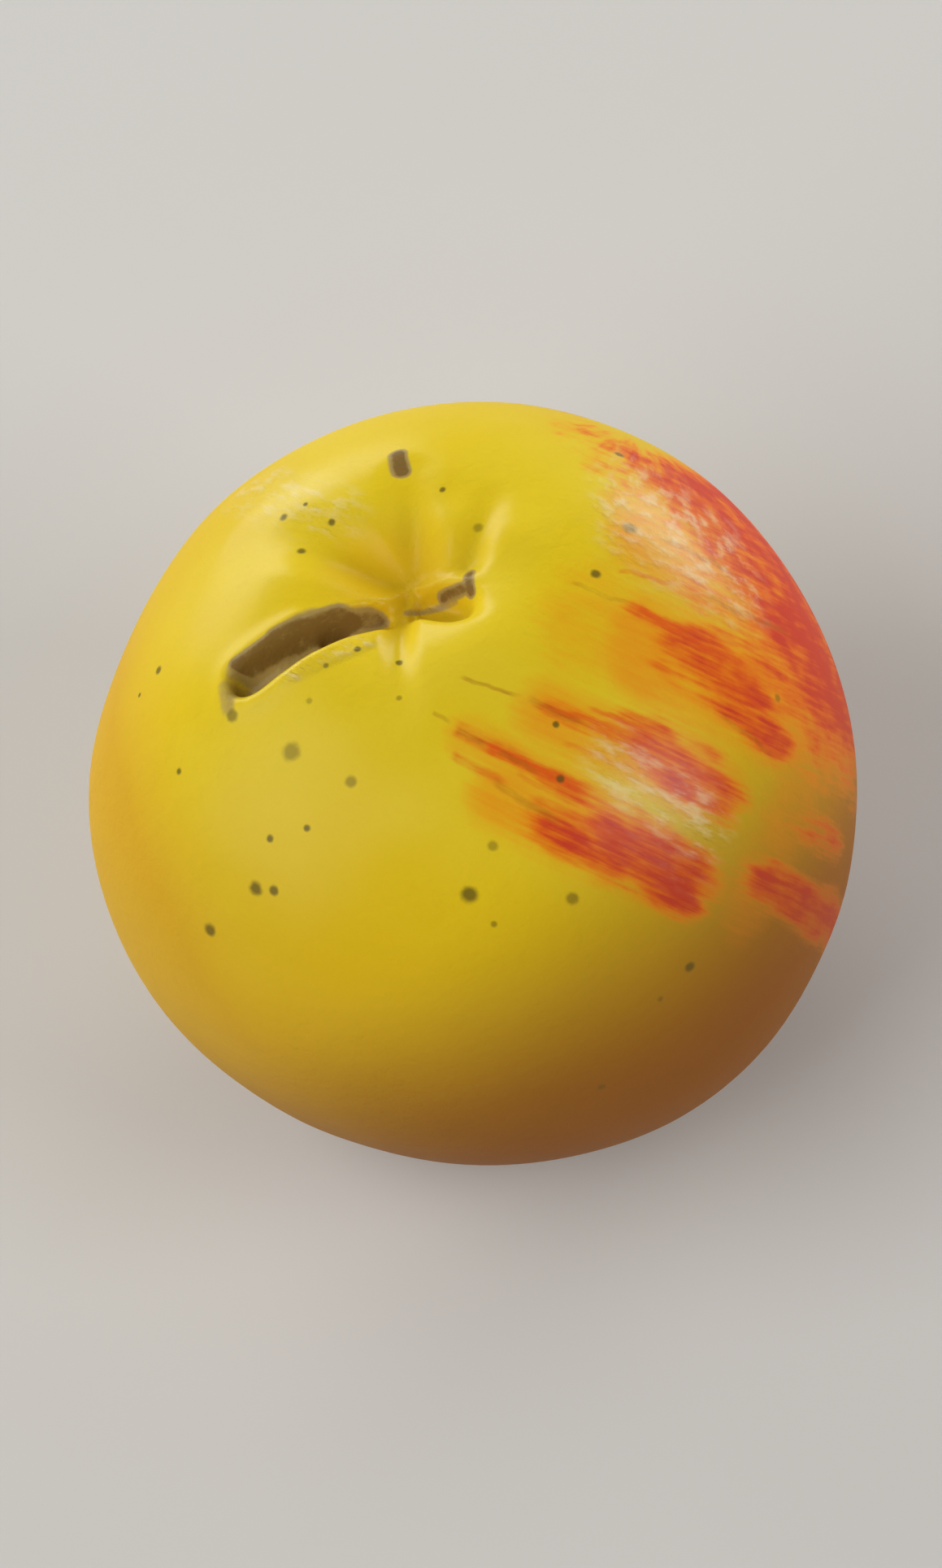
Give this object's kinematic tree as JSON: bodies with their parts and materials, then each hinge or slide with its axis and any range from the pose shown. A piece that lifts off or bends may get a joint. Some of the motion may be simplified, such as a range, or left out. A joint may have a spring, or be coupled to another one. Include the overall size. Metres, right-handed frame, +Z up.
{
  "type": "marzipan fruit",
  "caption": "Moulded almond-paste apple: a rounded body with a flat underside and a star-shaped tool mark pressed into the dimple on top.",
  "frame": {"origin": "centre of the flat underside, on the surface the apple rests on", "axes": "+Z up through the dimple; the long slot of the star points towards -X; the red brush strokes are on the +X side; -Y faces the camera"},
  "size_m": [0.0344, 0.0342, 0.0303],
  "materials": {
    "marzipan": "yellow almond paste with a low waxy glaze, brown specks and orange-red brush strokes on one side"
  },
  "bodies": {
    "root": {"marzipan_apple": "marzipan"}
  },
  "joints": []
}
